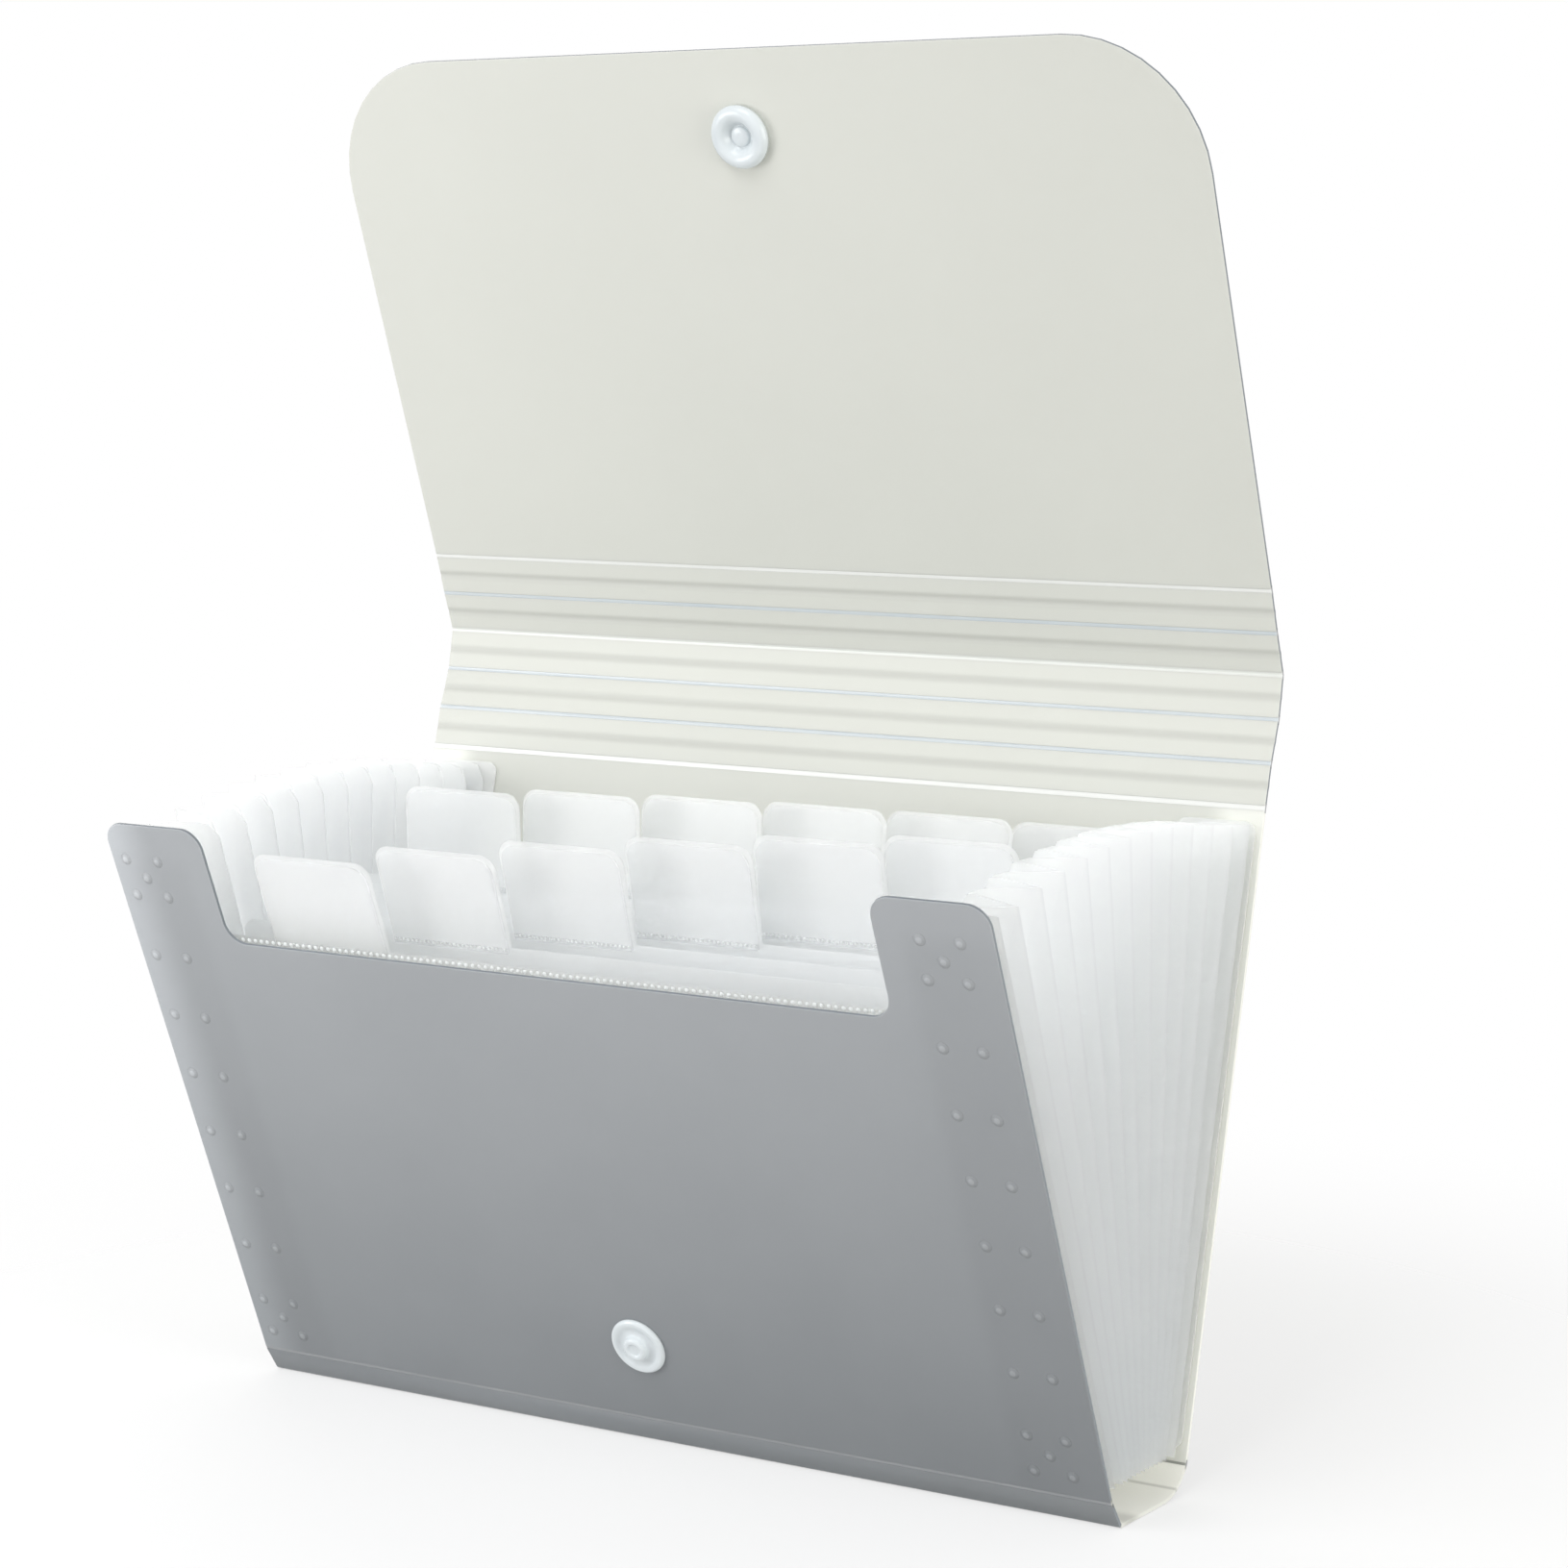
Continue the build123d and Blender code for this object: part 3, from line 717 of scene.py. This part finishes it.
def weld_bumps(name, node, body, seat, height, finishes):
    """A bump for each weld spot, on a face at a height over the sheet's middle, painted paler in its own middle:
    partly the melted sheet's paler tone, partly a painted highlight.
    """
    axis = seat.out if height > 0 else -seat.out
    points, faces, spread, finish_of = [], [], [], []
    for place in spot_places(node):
        offset = place - seat.foot
        centre = on_seat(seat, offset.x, offset.dot(seat.up), height)
        rings = add_round(points, faces, centre, axis, WELD_PROFILE, WELD_SIDES)
        finish_of += [int(ring > WELD_HIGHLIGHT_RINGS) for ring in rings]
        place_on_sheet = (share_across(offset.x), offset.dot(seat.up) / seat.length)
        spread += [place_on_sheet] * (len(points) - len(spread))
    piece = new_piece(name, points, faces, finishes, body, smooth=True)
    lay_out(piece, "sheet", spread)
    piece.data.polygons.foreach_set("material_index", finish_of)
    return piece


weld_bumps("front_weld_craters", "front_weld_spots", "front", front_seat, SHEET / 2, (weld, welded))
weld_bumps("back_weld_craters", "back_weld_spots", "back", back_seat, -SHEET / 2, (weld, welded))
weld_bumps("front_margin_craters", "front_weld_spots", "front", front_seat, -MARGIN_FACE, (bead, film))
weld_bumps("back_margin_craters", "back_weld_spots", "back", back_seat, MARGIN_FACE, (bead, film))


# Pocket insert
def fan_seat(edge):
    """A numbered sheet of the fan: the front panel's margin, a divider or the back panel's margin."""
    if edge == 0:
        seat = front_seat
        return Seat(seat.foot - seat.out * MARGIN_STACK, seat.up, seat.out, MARGIN_TOP), "front"
    if edge == divider_count + 1:
        seat = back_seat
        return Seat(seat.foot + seat.out * MARGIN_STACK, seat.up, seat.out, MARGIN_TOP), "back"
    return divider_seat(edge), f"divider_{edge:02d}"


def corner_drop(inward):
    """How far a pleat's rounded inner corner lies below its top, at a distance from the inner fold."""
    if inward >= GUSSET_CORNER:
        return 0
    return GUSSET_CORNER - sqrt(GUSSET_CORNER ** 2 - (GUSSET_CORNER - inward) ** 2)


def pleat_columns():
    """Columns round a pleat as (distance from the inner fold, share of the way across the pocket)."""
    depth = GUSSET_OUTER - GUSSET_INNER
    out = [(depth * c, c / 2) for c in GUSSET_COLUMNS]
    return out + [(depth * c, 1 - c / 2) for c in reversed(GUSSET_COLUMNS[:-1])]


def pleat(pocket, side):
    """The folded film at one side of a pocket, between the pocket's walls."""
    near, near_body = fan_seat(pocket)
    far, far_body = fan_seat(pocket + 1)
    feet = [MARGIN_FOOT if body in ("front", "back") else GUSSET_FOOT for body in (near_body, far_body)]
    columns = pleat_columns()
    rows = GUSSET_ROWS + 1
    points, spread, faces = [], [], []
    for inward, share in columns:
        u = side * (GUSSET_INNER + inward)
        for row in range(rows):
            ends = []
            for wall, foot in zip((near, far), feet):
                height = wall.length - corner_drop(inward)
                ends.append(on_seat(wall, u, foot + (height - foot) * row / GUSSET_ROWS))
            points.append(ends[0].lerp(ends[1], share))
            spread.append((inward / (GUSSET_OUTER - GUSSET_INNER), row / GUSSET_ROWS))
    for column in range(len(columns) - 1):
        for row in range(GUSSET_ROWS):
            here = column * rows + row
            faces.append([here, here + 1, here + rows + 1, here + rows])
    name = "left" if side < 0 else "right"
    piece = new_piece(f"{name}_pleat_{pocket + 1:02d}", points, faces, pleat_film)
    lay_out(piece, "folds", spread)
    thick = piece.modifiers.new("film", "SOLIDIFY")
    thick.thickness = GUSSET_FILM
    thick.offset = 0
    swings = [abs(swing_share(near_body)), abs(swing_share(far_body))]
    share = max(blend_place(1 - min(swings) / max(swings)), LEAST_BLEND)
    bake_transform(piece)
    return piece


def blend_place(weight):
    """Where along a smooth step its weight is reached."""
    low, high = 0.0, 1.0
    for _ in range(30):
        middle = (low + high) / 2
        if middle * middle * (3 - 2 * middle) < weight:
            low = middle
        else:
            high = middle
    return low


for side, node in ((-1, "left_gusset"), (1, "right_gusset")):
    pleats = [pleat(pocket, side) for pocket in range(divider_count + 1)]
    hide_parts(node)


def bead_row(name, body, seat, places, height, radius, finish):
    """A row of low round beads on a sheet's face, at (u, v) places and a height over the sheet's middle."""
    profile = [(radius * sin(radians(slope)), radius * cos(radians(slope)) / 2) for slope in BEAD_SLOPES]
    points, faces = [], []
    for u, v in places:
        add_round(points, faces, on_seat(seat, u, v, height), seat.out, profile, BEAD_SIDES)
    piece = new_piece(name, points, faces, finish, body, smooth=True)
    return piece


for number in range(1, divider_count + 1):
    seat = divider_seat(number)
    skin = frame["nodes"][f"index_sleeve_{number:02d}"].data
    offsets = [vertex.co - seat.foot for vertex in skin.vertices]
    left, right = min(offset.x for offset in offsets), max(offset.x for offset in offsets)
    low = min(offset.dot(seat.up) for offset in offsets) + LABEL_WELD_RISE
    face = max(offset.dot(seat.out) for offset in offsets)
    beads = int((right - left) / LABEL_WELD_PITCH)
    places = [(left + (step + 0.5) * (right - left) / beads, low) for step in range(beads)]
    bead_row(f"label_weld_{number:02d}", f"divider_{number:02d}", seat, places, face, LABEL_BEAD, film)

notch_floor = front_seat.length - NOTCH_DEPTH
hem_beads = int(2 * HEM_REACH / HEM_PITCH)
hem = [(HEM_REACH * (2 * (step + 0.5) / hem_beads - 1), notch_floor + HEM_RISE) for step in range(hem_beads)]
bead_row("front_film_hem", "front", front_seat, hem, -HEM_BEHIND, HEM_BEAD, bead)

# Finishes of the solids, of which the films are seen
for name, node in frame["nodes"].items():
    if name.startswith("index_sleeve"):
        finish = sleeve
    elif name.startswith("divider"):
        finish = divider_film
    elif name.startswith(("pocket", "front_gusset", "back_gusset")):
        finish = film
    elif "weld_spots" in name:
        finish = weld
    else:
        finish = outside
    node.data.materials.clear()
    node.data.materials.append(finish)

# Studio
floor_mesh = bpy.data.meshes.new("floor")
floor_corners = [(-FLOOR_REACH, -FLOOR_REACH, 0), (FLOOR_REACH, -FLOOR_REACH, 0),
                 (FLOOR_REACH, FLOOR_REACH, 0), (-FLOOR_REACH, FLOOR_REACH, 0)]
floor_mesh.from_pydata(floor_corners, [], [(0, 1, 2, 3)])
floor = bpy.data.objects.new("floor", floor_mesh)
floor.location.z = -FLOOR_DROP
bpy.context.scene.collection.objects.link(floor)
# Uncoated white paper, matt: it shows the soft shadow near the folder and fades into the white background.
floor_finish, tree, shader = new_material("matt_white_paper", Roughness=0.9, Specular_IOR_Level=0.1)
shader.inputs["Base Color"].default_value = linear("#FBFBFB")
place = add(tree, "ShaderNodeTexCoord").outputs["Object"]
away = add(tree, "ShaderNodeVectorMath", {0: place}, operation="LENGTH").outputs["Value"]
fade = add(tree, "ShaderNodeMapRange", {
    "Value": away, "From Min": FLOOR_FADE[0], "From Max": FLOOR_FADE[1], "To Min": FLOOR_SHOWN,
    "To Max": 0.0}, interpolation_type="SMOOTHSTEP").outputs[0]
tree.links.new(fade, shader.inputs["Alpha"])
floor_mesh.materials.append(floor_finish)

world = bpy.data.worlds.new("white_studio")
world.use_nodes = True
bpy.context.scene.world = world
tree = world.node_tree
rays = add(tree, "ShaderNodeLightPath").outputs
seen = rays["Is Camera Ray"]
for ray in ("Is Glossy Ray", "Is Transmission Ray"):
    seen = add(tree, "ShaderNodeMath", {0: seen, 1: rays[ray]}, operation="MAXIMUM").outputs[0]
level = add(tree, "ShaderNodeMapRange", {"Value": seen, "To Min": STUDIO_LEVEL, "To Max": 1.0}).outputs[0]
back_light = tree.nodes["Background"]
back_light.inputs["Color"].default_value = (1, 1, 1, 1)
tree.links.new(level, back_light.inputs["Strength"])


def soft_lamp(name, place, target, size, energy, colour):
    """A square lamp at a place, turned towards a target."""
    lamp = bpy.data.lights.new(name, "AREA")
    lamp.size = size
    lamp.energy = energy
    lamp.color = linear(colour)[:3]
    held = bpy.data.objects.new(name, lamp)
    held.location = place
    held.rotation_euler = (Vector(target) - Vector(place)).to_track_quat("-Z", "Y").to_euler()
    bpy.context.scene.collection.objects.link(held)


soft_lamp("lamp_above", place=(0.0, -0.8, 0.95), target=(0, 0, 0.1), size=0.6, energy=4.9, colour="#FBFCFF")
soft_lamp("lamp_left", place=(-0.35, -0.4, 0.16), target=(-0.03, 0, 0.12), size=0.25, energy=1.05,
          colour="#FFFFFF")
soft_lamp("lamp_right", place=(0.9, -0.15, 0.12), target=(0.08, 0, 0.05), size=0.6, energy=4.4,
          colour="#FFFCF5")
soft_lamp("window_behind", place=(-0.7, 0.8, 0.5), target=(0, 0, 0.12), size=0.8, energy=3.1,
          colour="#FFFAF2")
# Light reaches the pockets through many layers of film.
bpy.context.scene.cycles.diffuse_bounces = 10
bpy.context.scene.cycles.transparent_max_bounces = 32

camera_data = bpy.data.cameras.new("photo_view")
camera_data.lens = CAMERA_LENS
camera_data.sensor_width = CAMERA_SENSOR
camera_data.sensor_fit = "HORIZONTAL"
camera = bpy.data.objects.new("photo_view", camera_data)
camera.location = CAMERA_PLACE
camera.rotation_euler = Vector(CAMERA_LOOK).to_track_quat("-Z", "Y").to_euler()
bpy.context.scene.collection.objects.link(camera)
bpy.context.scene.camera = camera
bpy.context.scene.view_settings.view_transform = "Standard"

bpy.context.view_layer.update()
